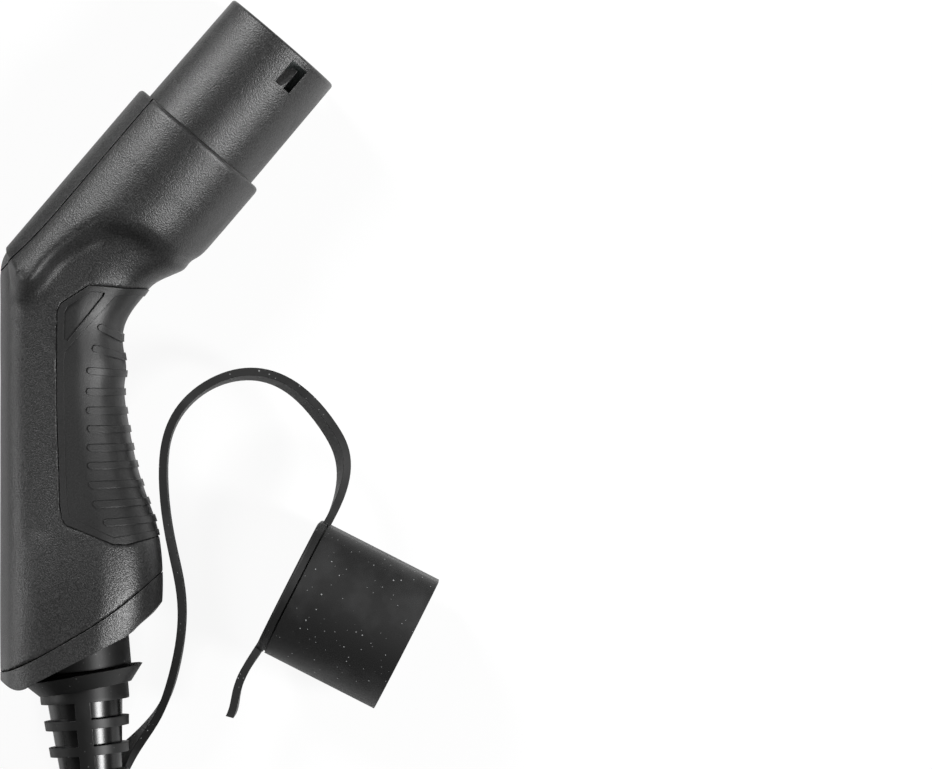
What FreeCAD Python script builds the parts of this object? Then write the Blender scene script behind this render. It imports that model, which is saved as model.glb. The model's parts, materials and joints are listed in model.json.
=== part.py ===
import FreeCAD, Part
import math
import os
import re

Vector = FreeCAD.Vector
Rotation = FreeCAD.Rotation
Placement = FreeCAD.Placement

# A charging cable for an electric car, lying on its side: the vehicle connector with its bent grip, the
# rubber cap on its strap, about four metres of cable in a coil, and the plug for the charging post.
# X runs out of the connector's nose, Y towards the flat side of its D, Z up from the floor.
# The origin is the mouth of the middle contact. Millimetres.
doc = FreeCAD.newDocument("ChargingCable")
sheet = doc.addObject("Spreadsheet::Sheet", "Sizes")

SIZES = [
    # nose, the D-shaped tube round the contacts
    ("rim_ahead", 4.5), ("nose_reach", 48.0), ("nose_seat", 15.5), ("nose_radius", 27.8),
    ("nose_flat", 21.5), ("nose_corner", 9.1), ("nose_wall", 3.0), ("nose_draft", 0.5),
    ("cavity_depth", 38.0), ("rim_round", 1.2), ("latch_length", 11.2), ("latch_width", 6.6),
    ("latch_back", 2.3), ("latch_drop", 14.6), ("latch_hole", 3.0), ("latch_side", 2.8),
    ("key_back", 4.6), ("key_length", 11.0), ("key_width", 6.6),
    # head, the wide front of the housing
    ("head_radius", 31.35), ("head_flat", 25.45), ("head_corner", 10.2), ("head_length", 92.0),
    ("head_bore", 17.0), ("part_gap", 0.2), ("cover_depth", 6.2), ("collar_round", 1.6),
    # contacts
    ("pin_bore", 6.0), ("signal_bore", 3.0), ("sleeve_width", 12.2), ("signal_sleeve_width", 8.1),
    ("contact_width", 8.6), ("signal_width", 5.2), ("row_pitch", 14.9), ("low_row_drop", 13.2),
    ("low_row_pitch", 14.8), ("signal_rise", 10.65), ("signal_pitch", 14.4), ("face_recess", 3.0),
    ("bore_depth", 26.0), ("contact_length", 50.0), ("barrel_length", 12.0), ("barrel_width", 6.6),
    ("plate_thick", 2.0), ("insert_thick", 6.0), ("retainer_thick", 3.0), ("running_gap", 0.1),
    ("mouth_gap", 0.6), ("slot_depth", 4.0), ("slot_width", 1.1), ("sleeve_foot", 4.0),
    # grip
    ("grip_angle", 220.5), ("elbow_back", 134.1), ("elbow_side", 22.5), ("grip_half_width", 22.5),
    ("foot_half_width", 28.0), ("pad_depth", 2.0), ("pad_proud", 0.35), ("rib_proud", 0.6),
    ("rib_width", 2.6), ("chamber_radius", 22.0), ("channel_radius", 13.0), ("clamp_room", 15.2),
    # neck, sleeve and cuff
    ("neck_along", 150.0), ("neck_front", 30.47), ("neck_tilt", 4.9), ("sleeve_start", 11.3),
    ("sleeve_length", 76.0), ("sleeve_top_radius", 16.75), ("sleeve_end_radius", 9.7),
    ("sleeve_wall", 2.4), ("window_pitch", 10.0), ("window_height", 6.5), ("web_width", 5.7),
    ("barrel_radius", 18.5), ("cuff_radius", 22.8), ("cuff_height", 5.8), ("cuff_wall", 1.8),
    ("seat_radius", 12.3), ("seat_length", 7.4), ("window_offset", 1.0), ("cuff_tilt", 5.0),
    ("clamp_radius", 15.0), ("clamp_rear", 43.0), ("clamp_front", 31.5), ("screw_reach", 11.3),
    ("screw_width", 3.0), ("screw_head", 5.4), ("screw_play", 0.05),
    # cable, coil and cores
    ("cable_width", 16.0), ("coil_mean_radius", 80.0), ("turns_wide", 4.0), ("turns_high", 2.0),
    ("core_width", 4.4), ("signal_core_width", 2.4), ("core_spread", 0.6), ("coil_ahead", 74.7),
    ("tie_width", 20.0), ("tie_thick", 1.6), ("tie_turn", 20.0),
    # dust cap and its strap
    ("cap_length", 50.2), ("cap_wall", 2.0), ("cap_plate", 3.2), ("strap_width", 11.0),
    ("strap_thick", 3.0), ("ring_wall", 2.6), ("cap_lean", 63.0), ("cap_fit", 0.3),
    ("cap_round", 1.2), ("cap_groove", 0.7),
]
for row, (name, amount) in enumerate(SIZES, start=1):
    sheet.set("A%d" % row, name)
    sheet.set("B%d" % row, str(amount))
    sheet.setAlias("B%d" % row, name)
doc.recompute()


def size(name):
    return float(sheet.get(name))


def tied(text):
    """A sum of size names and numbers, as the sheet's own expression."""
    return re.sub(r"[a-z][a-z_]*[a-z]", lambda found: "Sizes." + found.group(0), text)


def worked(text):
    """The amount that a sum of size names gives, in millimetres or degrees."""
    return float(sheet.evalExpression(tied(text)))


def bind(obj, **sums):
    """Set properties of an object and keep them bound to the sheet."""
    for prop, text in sums.items():
        setattr(obj, prop, worked(text))
        obj.setExpression(prop, tied(text))


# Frames: the row's own, the grip's and the neck's. In the last two x runs down towards the cable.
elbow = Vector(size("rim_ahead") - size("elbow_back"), size("elbow_side"), 0)
grip_turn = Rotation(Vector(0, 0, 1), size("grip_angle"))
grip_place = Placement(elbow, grip_turn)
neck_turn = Rotation(Vector(0, 0, 1), size("grip_angle") + size("neck_tilt"))
neck_place = Placement(grip_place.multVec(Vector(size("neck_along"), size("neck_front"), 0)), neck_turn)
along_x = Rotation(Vector(0, 1, 0), 90)


def behind(back, side, up=0.0):
    """A point given by how far it lies behind the nose's rim."""
    return Vector(size("rim_ahead") - back, side, up)


def on_grip(along, front, up=0.0):
    return grip_place.multVec(Vector(along, front, up))


def on_neck(along, front=0.0, up=0.0):
    return neck_place.multVec(Vector(along, front, up))


nodes = []


def keep(obj, label, place=None):
    """Give a finished sub-part its name and place, and list it for export."""
    obj.Label = label
    if place is not None:
        obj.Placement = place
    nodes.append(obj)
    return obj


def feature(shape, label, place=None):
    obj = doc.addObject("Part::Feature", label)
    obj.Shape = shape
    return keep(obj, label, place)


def rod(name, radius, length, start="0", side="0", up="0"):
    """A cylinder along +x from start, sized and placed by the sheet."""
    obj = doc.addObject("Part::Cylinder", name)
    bind(obj, Radius=radius, Height=length)
    obj.Placement = Placement(Vector(worked(start), worked(side), worked(up)), along_x)
    for axis, text in (("x", start), ("y", side), ("z", up)):
        obj.setExpression("Placement.Base." + axis, tied(text))
    return obj


def cone(name, radius, far_radius, length, start="0", side="0", up="0"):
    obj = doc.addObject("Part::Cone", name)
    bind(obj, Radius1=radius, Radius2=far_radius, Height=length)
    obj.Placement = Placement(Vector(worked(start), worked(side), worked(up)), along_x)
    for axis, text in (("x", start), ("y", side), ("z", up)):
        obj.setExpression("Placement.Base." + axis, tied(text))
    return obj


def joined(name, *parts):
    obj = doc.addObject("Part::MultiFuse", name)
    obj.Shapes = list(parts)
    return obj


def taken(name, base, *tools):
    obj = doc.addObject("Part::Cut", name)
    obj.Base = base
    obj.Tool = tools[0] if len(tools) == 1 else joined(name + "_tools", *tools)
    return obj


# Outlines
def d_wire(x, radius, flat, corner):
    """The D of a nose: a round of one radius, a flat across +Y and two rounded corners."""
    reach = radius - corner
    rise = flat - corner
    half = math.sqrt(reach * reach - rise * rise)
    lean = math.atan2(rise, half)
    wires = []
    ends = []
    for side in (1, -1):
        centre = Vector(x, rise, side * half)
        low = Vector(x, radius * math.sin(lean), side * radius * math.cos(lean))
        mid = centre + Vector(0, corner * math.sin((lean + math.pi / 2) / 2),
                              side * corner * math.cos((lean + math.pi / 2) / 2))
        top = Vector(x, flat, side * half)
        wires.append(Part.Arc(low, mid, top).toShape())
        ends.append((low, top))
    wires.insert(1, Part.LineSegment(ends[0][1], ends[1][1]).toShape())
    wires.append(Part.Arc(ends[1][0], Vector(x, -radius, 0), ends[0][0]).toShape())
    return Part.Wire(Part.__sortEdges__(wires))


def d_block(front, back, radius, flat, corner, draft=0.0):
    """A D-shaped block between two stations of the nose axis, drafted towards its front."""
    wires = [d_wire(back, radius, flat, corner),
             d_wire(front, radius - draft, flat - draft, corner - draft)]
    return Part.makeLoft(wires, True, True)


def edge_through(points):
    if len(points) == 2:
        return Part.LineSegment(points[0], points[1]).toShape()
    curve = Part.BSplineCurve()
    curve.interpolate(Points=points)
    return curve.toShape()


def slab(runs, half):
    """A slab across Z whose outline is runs of points, each a line or one smooth curve."""
    edges = []
    for index, run in enumerate(runs):
        edges.append(edge_through(run))
        follow = runs[(index + 1) % len(runs)][0]
        if (run[-1] - follow).Length > 1e-6:
            edges.append(edge_through([run[-1], follow]))
    face = Part.Face(Part.Wire(edges))
    face.translate(Vector(0, 0, -half))
    return face.extrude(Vector(0, 0, 2 * half))


def grip_xy(*pairs):
    return [on_grip(along, front) for along, front in pairs]


# The body's side outline, as pairs of a point on the back and one on the front, with the half width
def stations():
    head = size("head_flat")
    narrow = size("grip_half_width")
    foot = size("foot_half_width")
    rows = [
        (behind(84, head), behind(79, -size("head_radius")), narrow),
        (behind(100, head), behind(87.6, -30.6), narrow),
        (behind(114, head), behind(95.5, -26.6), narrow),
        (behind(123.5, head), behind(103.5, -24.2), narrow),
        (behind(size("elbow_back") - 4.2, head - 0.9), on_grip(11.5, 51.9), narrow),
        (on_grip(1.8, 0), on_grip(19.0, 46.9), narrow),
        (on_grip(14, 0), on_grip(30, 45.8), narrow),
        (on_grip(34, 0), on_grip(43, 46.1), narrow),
        (on_grip(54, 0), on_grip(57, 47.5), narrow + 0.3),
        (on_grip(71, 0), on_grip(71, 50.2), narrow + 1.2),
        (on_grip(86, 0), on_grip(86, 54.8), narrow + 2.6),
        (on_grip(100, 0), on_grip(98, 58.7), foot - 1.6),
        (on_grip(114, 0), on_grip(112, 60.4), foot - 0.4),
        (on_grip(130, 0), on_grip(128, 60.0), foot),
        (on_grip(162, 0), on_grip(160, 59.0), foot),
    ]
    return rows


def ring_section(back, front, half_width, power, grow):
    """One closed section between a back and a front point, four curves round like a soft rectangle."""
    centre = (back + front) * 0.5
    way = front - back
    half = way.Length / 2 + grow
    way.normalize()
    wide = half_width + grow
    up = Vector(0, 0, 1)
    edges = []
    for a_way, b_way in ((way, up), (up, -way), (-way, -up), (-up, way)):
        a_size = half if a_way in (way, -way) else wide
        b_size = half if b_way in (way, -way) else wide
        points = []
        for step in range(6):
            turn = math.pi / 2 * step / 5
            a = abs(math.cos(turn)) ** (2 / power) if step < 5 else 0.0
            b = abs(math.sin(turn)) ** (2 / power) if step > 0 else 0.0
            points.append(centre + a_way * (a * a_size) + b_way * (b * b_size))
        curve = Part.BSplineCurve()
        curve.interpolate(Points=points, InitialTangent=b_way * b_size, FinalTangent=-a_way * a_size)
        edges.append(curve.toShape())
    return Part.Wire(edges)


SOFT_POWER = 2.7


def body_loft(grow=0.0):
    rings = [ring_section(back, front, half_width, SOFT_POWER, grow)
             for back, front, half_width in stations()]
    return Part.makeLoft(rings, True, False)


def head_core():
    """The narrow body's straight start, inside the wide head."""
    back, front, half_width = stations()[0]
    inside = (behind(66, size("head_flat") - 0.3), behind(62, 0.3 - size("head_radius")),
              half_width - 0.4)
    rings = [ring_section(*inside, SOFT_POWER, 0), ring_section(back, front, half_width, SOFT_POWER, 0)]
    return Part.makeLoft(rings, True, True)


def shoulder():
    """The wide region of the head: its edge sweeps round the finger scoop, over a slanted wall."""
    def face_edge(spread, height):
        low = [behind(75 + spread, -44, height), behind(78.3 + spread, -28, height),
               behind(83.5 + spread, -20.5, height), behind(90.5 + spread, -4.5, height),
               behind(95.5 + spread, 3.4 - 0.7 * spread, height),
               behind(102 + 0.5 * spread, 6.0 - spread, height),
               behind(111, 8.6 - spread, height), behind(122, 9.8 - spread, height)]
        rear = [low[-1], on_grip(5 + spread, 11 - 0.6 * spread, height),
                on_grip(-3, 8 - 0.6 * spread, height), behind(121 + 0.6 * spread, 27, height)]
        front = [rear[-1], behind(20, 60, height), behind(20, -44, height), low[0]]
        edges = [edge_through(low), edge_through(rear)]
        edges += [edge_through([a, b]) for a, b in zip(front, front[1:])]
        return Part.Wire(edges)
    half = size("head_radius") + 2
    inner = size("grip_half_width") - 2
    levels = [(-1.0, half), (0.4, 28.6), (2.9, 25.2), (6.5, inner)]
    walls = [face_edge(spread, -height) for spread, height in levels]
    walls += [face_edge(spread, height) for spread, height in reversed(levels)]
    parts = [Part.makeLoft([low, high], True, True) for low, high in zip(walls, walls[1:])]
    return parts[0].fuse(parts[1:]).removeSplitter()


def outer_body():
    """The whole outside of the housing, cover and end cap, before they are parted."""
    front = size("rim_ahead") - size("nose_reach")
    head = d_block(front, front - size("head_length"), size("head_radius"), size("head_flat"),
                   size("head_corner"))
    collar = [edge for edge in head.Edges if edge.BoundBox.XMin > front - 0.01]
    head = head.makeFillet(size("collar_round"), collar)
    return body_loft().fuse([head_core(), head.common(shoulder())])


def trim_front(radius, flat, corner):
    """The bore that takes the nose, a little wider than it."""
    front = size("rim_ahead") - size("nose_reach")
    gap = size("part_gap")
    return d_block(front + 5, front - size("nose_seat"), radius + gap, flat + gap, corner + gap)


# Side outlines of the parting lines, in the row's X and Y or along the grip
def cover_region(gap=0.0):
    """What belongs to the top cover: above a line near the flat side that lifts at the elbow."""
    line = size("head_flat") - size("cover_depth") - gap
    level = [behind(30, line), behind(106, line)]
    lift = [level[-1], behind(114, line + 0.3), behind(124, line + 1.2), behind(138, line + 3.6)]
    rear = [behind(160, line + 3.6), behind(160, 60)]
    return slab([level, lift, rear, [rear[-1], behind(30, 60)]], 45)


def seam(shift=0.0):
    """The slanted curve where the end cap meets the housing."""
    return grip_xy((151.2 + shift, -4), (150.3 + shift, 3.9), (147.7 + shift, 10.4),
                   (139.6 + shift, 25.5), (128.8 + shift, 42.8), (117 + shift, 57.1),
                   (108.5 + shift, 66))


def below_seam(shift=0.0):
    curve = seam(shift)
    return slab([curve, [curve[-1], on_grip(108.5, 80)], [on_grip(190, 80), on_grip(190, -20)],
                 [on_grip(151.2, -20), curve[0]]], 45)


def cap_foot():
    """The cap's own foot: a slanted underside with rounded ends."""
    line = grip_xy((120, -8), (153.5, -8))
    bottom = [on_grip(153.5, -8), on_grip(153.9, 0.2), on_grip(156, 3.9), on_grip(155.2, 13)]
    under = [bottom[-1], on_grip(137.2, 48.2)]
    nose = [under[-1], on_grip(134.2, 51.2), on_grip(129, 57.0), on_grip(124.6, 60.6), on_grip(120, 66)]
    close = [on_grip(100, -8), line[0]]
    return slab([line, bottom, under, nose, [nose[-1], on_grip(100, 66)], close], 45)


PAD_OUTER = [(7.4, 60), (7.4, 47.8), (6.6, 40.4), (6.3, 34.7), (13.1, 24.1), (16.0, 22.9), (50, 22.7),
             (88, 24.1), (93, 24.9), (95.3, 26.2), (102.4, 43.7), (102.6, 48.6), (99.7, 60), (99.7, 70)]
PAD_INNER = [(9.8, 60), (9.8, 47.0), (10.2, 44.1), (30.7, 25.7), (34, 25.2), (66.6, 25.6), (86.7, 26.6),
             (92.2, 27.4), (100.2, 44.1), (97.5, 60), (97.5, 70)]
PAD_WINDOW = [(8.4, 35.5), (9.0, 40.4), (10.2, 39.9), (27.0, 26.6), (25.8, 25.1), (16.0, 25.3),
              (13.9, 26.6)]
RIBS = [(21.3, 38.0, -28), (29.4, 35.9, -16), (37.9, 33.9, -5), (45.8, 33.7, 0), (52.8, 33.7, 0),
        (59.7, 34.1, 0), (66.7, 34.1, 1), (73.5, 34.3, 2), (80.6, 34.9, 2), (87.8, 36.4, 3),
        (94.6, 40.4, 4)]


def grip_slab(pairs, half=45):
    points = grip_xy(*pairs)
    face = Part.Face(Part.makePolygon(points + [points[0]]))
    face.translate(Vector(0, 0, -half))
    return face.extrude(Vector(0, 0, 2 * half))


def rib_slab(along, front, lean):
    """A rib's stadium outline: a rounded end on the side, running out over the front edge."""
    half = size("rib_width") / 2
    edges = [Part.LineSegment(Vector(-half, 40, 0), Vector(-half, half, 0)).toShape(),
             Part.Arc(Vector(-half, half, 0), Vector(0, 0, 0), Vector(half, half, 0)).toShape(),
             Part.LineSegment(Vector(half, half, 0), Vector(half, 40, 0)).toShape(),
             Part.LineSegment(Vector(half, 40, 0), Vector(-half, 40, 0)).toShape()]
    face = Part.Face(Part.Wire(edges))
    face.translate(Vector(0, 0, -45))
    block = face.extrude(Vector(0, 0, 90))
    block.Placement = grip_place * Placement(Vector(along, front, 0), Rotation(Vector(0, 0, 1), lean))
    return block


# Housing: one moulding from head to foot, hollow for the contacts, the wires and the cable's end
def housing_shape():
    front = size("rim_ahead") - size("nose_reach")
    seat = front - size("nose_seat")
    shape = outer_body().cut(cover_region(size("part_gap"))).cut(below_seam(-size("part_gap")))
    shape = shape.cut(grip_slab(PAD_OUTER).cut(body_loft(grow=-size("pad_depth"))))
    shape = shape.cut(trim_front(size("nose_radius"), size("nose_flat"), size("nose_corner")))
    wires = [Part.makeCylinder(size("chamber_radius"), 12, Vector(seat, 0, 0), Vector(-1, 0, 0)),
             Part.makeCylinder(size("head_bore"), 72, Vector(seat, 0, 0), Vector(-1, 0, 0)),
             neck_rod(size("channel_radius"), -150, -60), neck_rod(size("clamp_room"), -60, -20),
             neck_rod(20.8, -40, -20.3),
             neck_rod(18.7, -21, 10)]
    return shape.cut(wires)


def neck_rod(radius, start, end):
    return Part.makeCylinder(radius, end - start, on_neck(start), neck_turn.multVec(Vector(1, 0, 0)))


def cover_shape():
    shape = outer_body().common(cover_region())
    return shape.cut(trim_front(size("nose_radius"), size("nose_flat"), size("nose_corner")))


def end_cap_shape():
    shape = outer_body().common(below_seam()).common(cap_foot())
    return shape.cut([neck_rod(18.7, -40, 20), neck_rod(20.8, -40, -20.3),
                      neck_rod(size("cuff_radius") + 0.9, -3, 20)])


def pad_shape():
    """The soft overlay on the finger side: a raised border, a sunk field, a window and eleven ribs."""
    under = body_loft(grow=-size("pad_depth"))
    pad = body_loft(grow=size("pad_proud")).common(grip_slab(PAD_OUTER))
    pad = pad.cut(grip_slab(PAD_INNER).cut(body_loft()))
    pad = pad.cut(grip_slab(PAD_WINDOW).cut(body_loft(grow=-0.5)))
    ribs = Part.makeCompound([rib_slab(*rib) for rib in RIBS])
    ribs = body_loft(grow=size("rib_proud")).common(ribs)
    return pad.fuse(ribs).cut(under)


def nose_shape(latches=True):
    """The D tube: drafted, rounded at the rim, with slots for the post's or the car's latch."""
    rim = size("rim_ahead")
    back = rim - size("nose_reach") - size("nose_seat") + 0.2
    radius, flat, corner = size("nose_radius"), size("nose_flat"), size("nose_corner")
    wall = size("nose_wall")
    outer = d_block(rim, back, radius, flat, corner, size("nose_draft"))
    edges = [edge for edge in outer.Edges if abs(edge.BoundBox.XMin - rim) < 0.01]
    outer = outer.makeFillet(size("rim_round"), edges)
    inner = d_block(rim + 1, back - 1, radius - wall, flat - wall - 0.2, corner - wall + 0.2)
    shape = outer.cut(inner)
    if not latches:
        return shape
    cuts = []
    length, width = size("latch_length"), size("latch_width")
    start = rim - size("latch_back") - length
    hole_start = start + length - size("latch_hole")
    low = -size("latch_drop") - width / 2
    for side in (1, -1):
        corners = [Vector(start, low, side * 23.6), Vector(start + length, low, side * 20.6),
                   Vector(start + length, low, side * 40), Vector(start, low, side * 40)]
        ramp = Part.Face(Part.makePolygon(corners + [corners[0]])).extrude(Vector(0, width, 0))
        up = 15 if side > 0 else -40
        end_cut = Part.makeBox(size("latch_hole"), width, 25, Vector(hole_start, low, up))
        side_cut = Part.makeBox(length, size("latch_side"), 25, Vector(start, low, up))
        cuts += [ramp, end_cut, side_cut]
    key = Part.makeBox(size("key_length"), size("key_width"), 3,
                       Vector(rim - size("key_back") - size("key_length"), -size("key_width") / 2, 0))
    key.rotate(Vector(0, 0, 0), Vector(1, 0, 0), 90)
    key.translate(Vector(0, flat + 1.4, 0))
    return shape.cut(cuts + [key])


# Places of the seven contacts across the nose, as sums of sizes
POWER = [("contact_earth", "0", "0"), ("contact_neutral", "0", "row_pitch"),
         ("contact_phase_one", "0", "0-row_pitch"),
         ("contact_phase_two", "0-low_row_drop", "0-low_row_pitch/2"),
         ("contact_phase_three", "0-low_row_drop", "low_row_pitch/2")]
SIGNAL = [("contact_pilot", "signal_rise", "signal_pitch/2"),
          ("contact_proximity", "signal_rise", "0-signal_pitch/2")]


def all_places():
    return [(worked(side), worked(up), 0) for _, side, up in POWER] + \
           [(worked(side), worked(up), 1) for _, side, up in SIGNAL]


def x_rod(radius, start, end, side=0.0, up=0.0):
    return Part.makeCylinder(radius, end - start, Vector(start, side, up), Vector(1, 0, 0))


def plate_x():
    return size("rim_ahead") - size("cavity_depth")


def inner_d(front, back, less):
    wall = size("nose_wall") + less
    return d_block(front, back, size("nose_radius") - wall, size("nose_flat") - wall - 0.2,
                   size("nose_corner") - wall + 0.2)


def sleeve_reach(small):
    return size("signal_sleeve_width" if small else "sleeve_width") / 2


def insert_shape():
    """The grey carrier plate behind the face plate: seven holes, one for each contact's sleeve."""
    gap = size("running_gap")
    plate = plate_x() - size("plate_thick")
    back = plate - size("insert_thick")
    holes = [x_rod(sleeve_reach(small) + gap, back - 1, plate + 1, side, up)
             for side, up, small in all_places()]
    return inner_d(plate, back, gap).cut(holes)


def sleeves_shape():
    """Seven grey insulating sleeves, each round one contact, with a wider mouth and a small key slot."""
    gap = size("running_gap")
    rear = plate_x() - size("plate_thick") - size("insert_thick") - size("sleeve_foot")
    face = size("rim_ahead") - size("face_recess")
    deep, wide = size("slot_depth"), size("slot_width")
    sleeves = []
    for side, up, small in all_places():
        reach = sleeve_reach(small)
        metal = size("signal_width" if small else "contact_width") / 2 + gap
        mouth = size("signal_bore" if small else "pin_bore") / 2 + size("mouth_gap")
        key = Part.makeBox(deep, 2, wide, Vector(face - deep, side - reach - 0.5, up - wide / 2))
        bores = [x_rod(metal, rear - 1, 0, side, up), x_rod(mouth, -1, face + 1, side, up), key]
        sleeves.append(x_rod(reach, rear, face, side, up).cut(bores))
    return Part.makeCompound(sleeves)


def face_plate_shape():
    """The black plate at the bottom of the cavity, with a hole round each sleeve."""
    shape = inner_d(plate_x(), plate_x() - size("plate_thick") + 0.05, size("running_gap"))
    holes = []
    for side, up, small in all_places():
        holes.append(x_rod(sleeve_reach(small) + 0.5, plate_x() - 5, plate_x() + 5, side, up))
    return shape.cut(holes)


def retainer_shape():
    """The plate that locks the contacts from behind."""
    front = -size("contact_length") - 0.05
    shape = inner_d(front, front - size("retainer_thick"), size("running_gap"))
    holes = []
    for side, up, small in all_places():
        barrel = size("barrel_width") / 2 if not small else 1.9
        holes.append(x_rod(barrel + 0.1, front - 10, front + 10, side, up))
    return shape.cut(holes)


def contact(label, side, up, width, bore, barrel, wire):
    """A turned socket contact: bored from the front for the pin and from the back for the wire."""
    body = rod(label + "_body", width + "/2", "contact_length", "0-contact_length", side, up)
    tail = rod(label + "_tail", barrel, "barrel_length+0.5", "0-contact_length-barrel_length", side, up)
    hole = rod(label + "_bore", bore + "/2", "bore_depth+1", "0-bore_depth", side, up)
    point = cone(label + "_point", "0.4", bore + "/2", "2", "0-bore_depth-2", side, up)
    crimp = rod(label + "_crimp", wire + "/2+0.05", "9", "0-contact_length-barrel_length-1", side, up)
    keep(taken(label + "_cut", joined(label + "_turned", body, tail), hole, point, crimp), label)


def path_wire(points):
    """Straight runs joined by tangent arcs, each as large as its two runs allow."""
    edges = []
    last = points[0]
    radii = []
    for before, corner, after in zip(points, points[1:], points[2:]):
        one, two = before - corner, after - corner
        reach = 0.45 * min(one.Length, two.Length)
        half = (math.pi - one.getAngle(two)) / 2
        radii.append(reach / math.tan(half))
        one.normalize()
        two.normalize()
        start, end = corner + one * reach, corner + two * reach
        middle = one + two
        middle.normalize()
        centre_off = radii[-1] / math.cos(half)
        mid = corner + middle * (centre_off - radii[-1])
        edges += [Part.LineSegment(last, start).toShape(), Part.Arc(start, mid, end).toShape()]
        last = end
    edges.append(Part.LineSegment(last, points[-1]).toShape())
    return Part.Wire(edges), radii


def tube(points, radius):
    wire, radii = path_wire(points)
    way = points[1] - points[0]
    disc = Part.Wire([Part.makeCircle(radius, points[0], way)])
    shape = wire.makePipeShell([disc], True, False)
    worked_out = math.pi * radius * radius * wire.Length
    if abs(shape.Volume / worked_out - 1) > 0.01:
        raise ValueError("a tube's volume does not match its length")
    return shape, wire.Length, radii


def wire_core(side, up, small):
    """One insulated wire from its contact, round the bend, to the end of the cable's jacket."""
    spread = size("core_spread")
    radius = size("signal_core_width" if small else "core_width") / 2
    start = -size("contact_length") - size("barrel_length") + 7
    near = Vector(start - 12, side, up)
    axis = neck_turn.multVec(Vector(1, 0, 0))
    bend = on_neck(-neck_place.Base.y / axis.y)
    one, two = Vector(0, -1, 0), neck_turn.multVec(Vector(0, 1, 0))
    mitre = (one + two) * (1 / (1 + one.dot(two)))
    turn = bend + mitre * (-side * spread) + Vector(0, 0, up * spread)
    end = on_neck(-45, -side * spread, up * spread)
    gather = Vector(near.x - 22, side * spread, up * spread)
    if abs(side) + abs(up) < 1e-6:
        points = [Vector(start, 0, 0), turn, end]
    else:
        points = [Vector(start, side, up), near, gather, turn, end]
    return tube(points, radius)[0]


# Connector end
feature(housing_shape(), "grip_housing")
feature(cover_shape(), "top_cover")
feature(pad_shape(), "grip_pad")
feature(end_cap_shape(), "end_cap")
feature(nose_shape(), "nose_shell")
feature(face_plate_shape(), "face_plate")
feature(insert_shape(), "contact_insert")
feature(sleeves_shape(), "contact_sleeves")
feature(retainer_shape(), "contact_retainer")
for label, side, up in POWER:
    contact(label, side, up, "contact_width", "pin_bore", "barrel_width/2", "core_width")
for label, side, up in SIGNAL:
    contact(label, side, up, "signal_width", "signal_bore", "1.8", "signal_core_width")
for (side, up, small), (label, _, _) in zip(all_places(), POWER + SIGNAL):
    feature(wire_core(side, up, small), label.replace("contact", "wire"))


# Neck: clamp, grommet, bend core, windowed bend sleeve and cuff, all turned about the neck's axis
def turned(profile):
    """A solid turned about the neck's own x axis from pairs of station and radius."""
    points = [Vector(x, r, 0) for x, r in profile]
    face = Part.Face(Part.makePolygon(points + [points[0]]))
    return face.revolve(Vector(0, 0, 0), Vector(1, 0, 0), 360)


def sleeve_radius(reach):
    share = reach / size("sleeve_length")
    return size("sleeve_top_radius") + (size("sleeve_end_radius") - size("sleeve_top_radius")) * share


def sleeve_shape():
    """The rubber bend sleeve: a tapered tube with rows of windows and a waist for the cap's ring."""
    start, length = size("sleeve_start"), size("sleeve_length")
    wall, cable = size("sleeve_wall"), size("cable_width") / 2 + 0.15
    pitch, half_pitch = size("window_pitch"), size("window_offset")
    waist = start + 3 * pitch + half_pitch
    core_end = 40.0
    outer = [(-22.5, 20.4), (-20.6, 20.4), (-20.6, size("barrel_radius")), (0.4, size("barrel_radius")),
             (1.0, sleeve_radius(0)), (start, sleeve_radius(0)),
             (waist, sleeve_radius(waist - start)), (waist, size("seat_radius")),
             (waist + size("seat_length"), size("seat_radius")),
             (waist + size("seat_length"), sleeve_radius(waist + size("seat_length") - start)),
             (start + length, size("sleeve_end_radius"))]
    bore = [(start + length, cable), (start + core_end, cable),
            (start + core_end, sleeve_radius(core_end) - wall), (start, sleeve_radius(0) - wall),
            (-22.5, sleeve_radius(0) - wall)]
    shape = turned(outer + bore)
    windows = []
    for row in range(7):
        if row == 3:
            continue
        for side in (size("web_width") / 2, -size("web_width") / 2 - 30):
            at = Vector(start + half_pitch + row * pitch, side, -30)
            windows.append(Part.makeBox(size("window_height"), 30, 60, at))
    return shape.cut(windows)


def core_shape():
    """The glossy bend core that shows in the sleeve's windows."""
    start, gap = size("sleeve_start"), 0.15
    wall, cable = size("sleeve_wall"), size("cable_width") / 2 + 0.1
    return turned([(-26, sleeve_radius(0) - wall - gap), (start, sleeve_radius(0) - wall - gap),
                   (start + 39.8, sleeve_radius(39.8) - wall - gap), (start + 39.8, cable), (-26, cable)])


def cuff_shape():
    """The dished rubber cuff round the neck, its lip turned up towards the end cap."""
    lip, foot, wall = size("cuff_radius"), size("cuff_radius") - 5.2, size("cuff_wall")
    height = size("cuff_height")
    hub = sleeve_radius(0) + 0.8
    return turned([(0, lip), (height, foot), (height, hub), (height - 2.6, hub),
                   (height - 2.8, foot - 0.4), (0.2, lip - wall - 0.3), (-0.3, lip - 0.7)])


SCREW_AT, HEAD_SEAT = -37.2, 5.5


def clamp_shape(side):
    """Half of the saddle that grips the jacket, with two screw ears."""
    outer, inner = size("clamp_radius"), size("cable_width") / 2
    rear, front = -size("clamp_rear"), -size("clamp_front")
    ring = turned([(rear, outer), (front, outer), (front, inner), (rear, inner)])
    half = Part.makeBox(60, 60, 30, Vector(-60, -30, 0.3 if side > 0 else -30.3))
    shape = ring.common(half)
    for across in (size("screw_reach"), -size("screw_reach")):
        hole = up_rod(size("screw_width") / 2 + size("screw_play"), SCREW_AT, across, -30, 60)
        seat = up_rod(size("screw_head") / 2 + 0.2, SCREW_AT, across, HEAD_SEAT, 20)
        shape = shape.cut([hole, seat])
    return shape


def up_rod(radius, along, across, start, length):
    return Part.makeCylinder(radius, length, Vector(along, across, start), Vector(0, 0, 1))


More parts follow.
